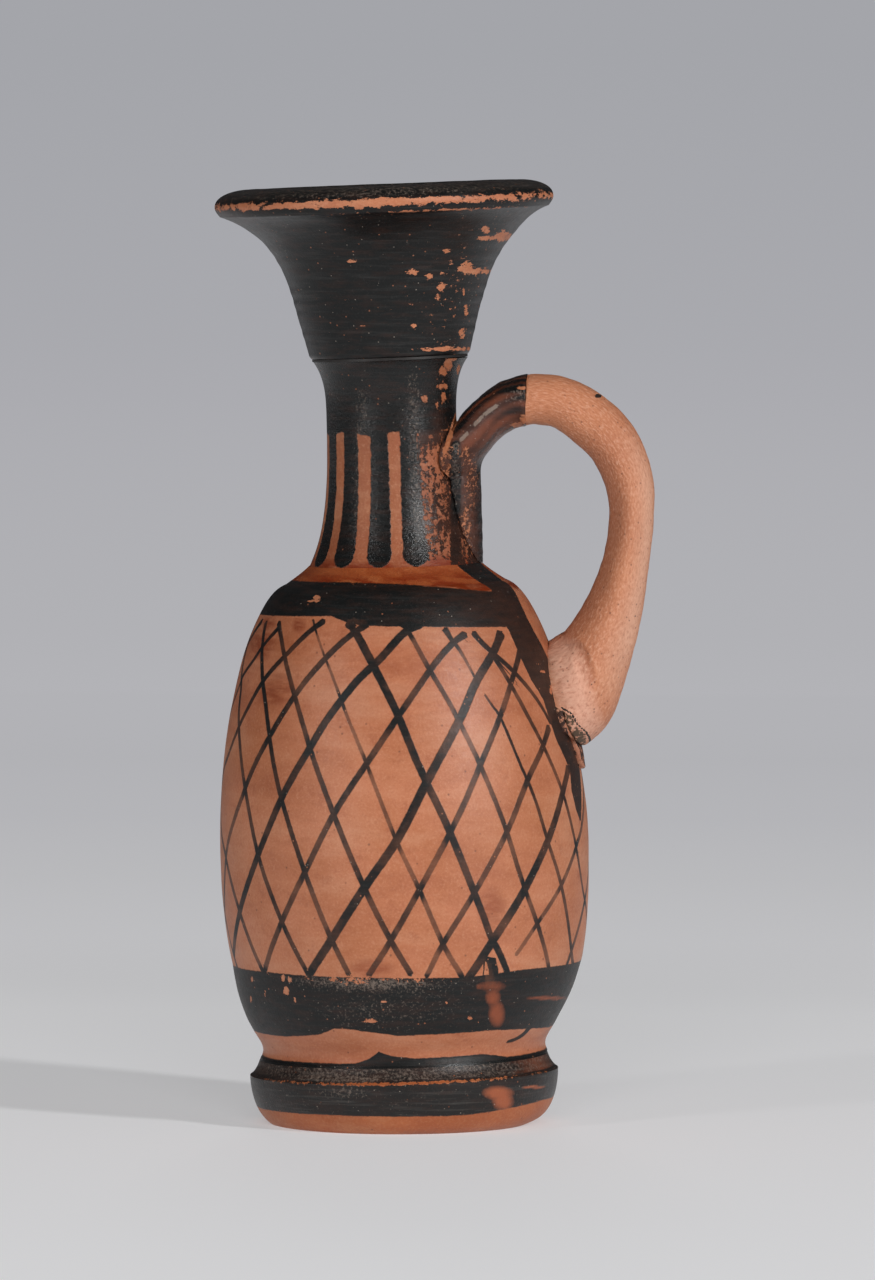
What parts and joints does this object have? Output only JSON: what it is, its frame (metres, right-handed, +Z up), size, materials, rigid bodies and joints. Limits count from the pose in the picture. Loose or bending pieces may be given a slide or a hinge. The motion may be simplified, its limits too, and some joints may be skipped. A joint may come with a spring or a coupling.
{
  "type": "lekythos",
  "caption": "Small ceramic oil flask with disc foot, net-painted body, narrow neck, flaring mouth and a loop handle, the handle's outer part a later repair.",
  "frame": {"origin": "middle of the foot's flat underside, on the surface that the flask stands on", "axes": "+Z up, +X towards the handle, the plane y = 0 is the plane of symmetry"},
  "size_m": [0.0699, 0.0592, 0.1506],
  "materials": {
    "red_clay": "burnished fired clay with a painted net",
    "black_gloss": "semi-gloss black slip, worn to the clay at edges",
    "brown_gloss": "thin brown slip, worn",
    "luting_slip": "red fired slip",
    "tinted_filler": "matte tinted filler with fine tool marks",
    "adhesive": "aged resin film"
  },
  "bodies": {
    "root": {"foot": "black_gloss", "foot_slip": "luting_slip", "body": "red_clay", "neck_collar": "luting_slip", "neck": "black_gloss", "mouth_slip": "luting_slip", "mouth": "black_gloss", "handle_stub": "brown_gloss", "handle_stub_fillet": "brown_gloss", "break_adhesive": "adhesive", "handle_restoration": "tinted_filler", "handle_root_scar": "luting_slip"}
  },
  "joints": []
}
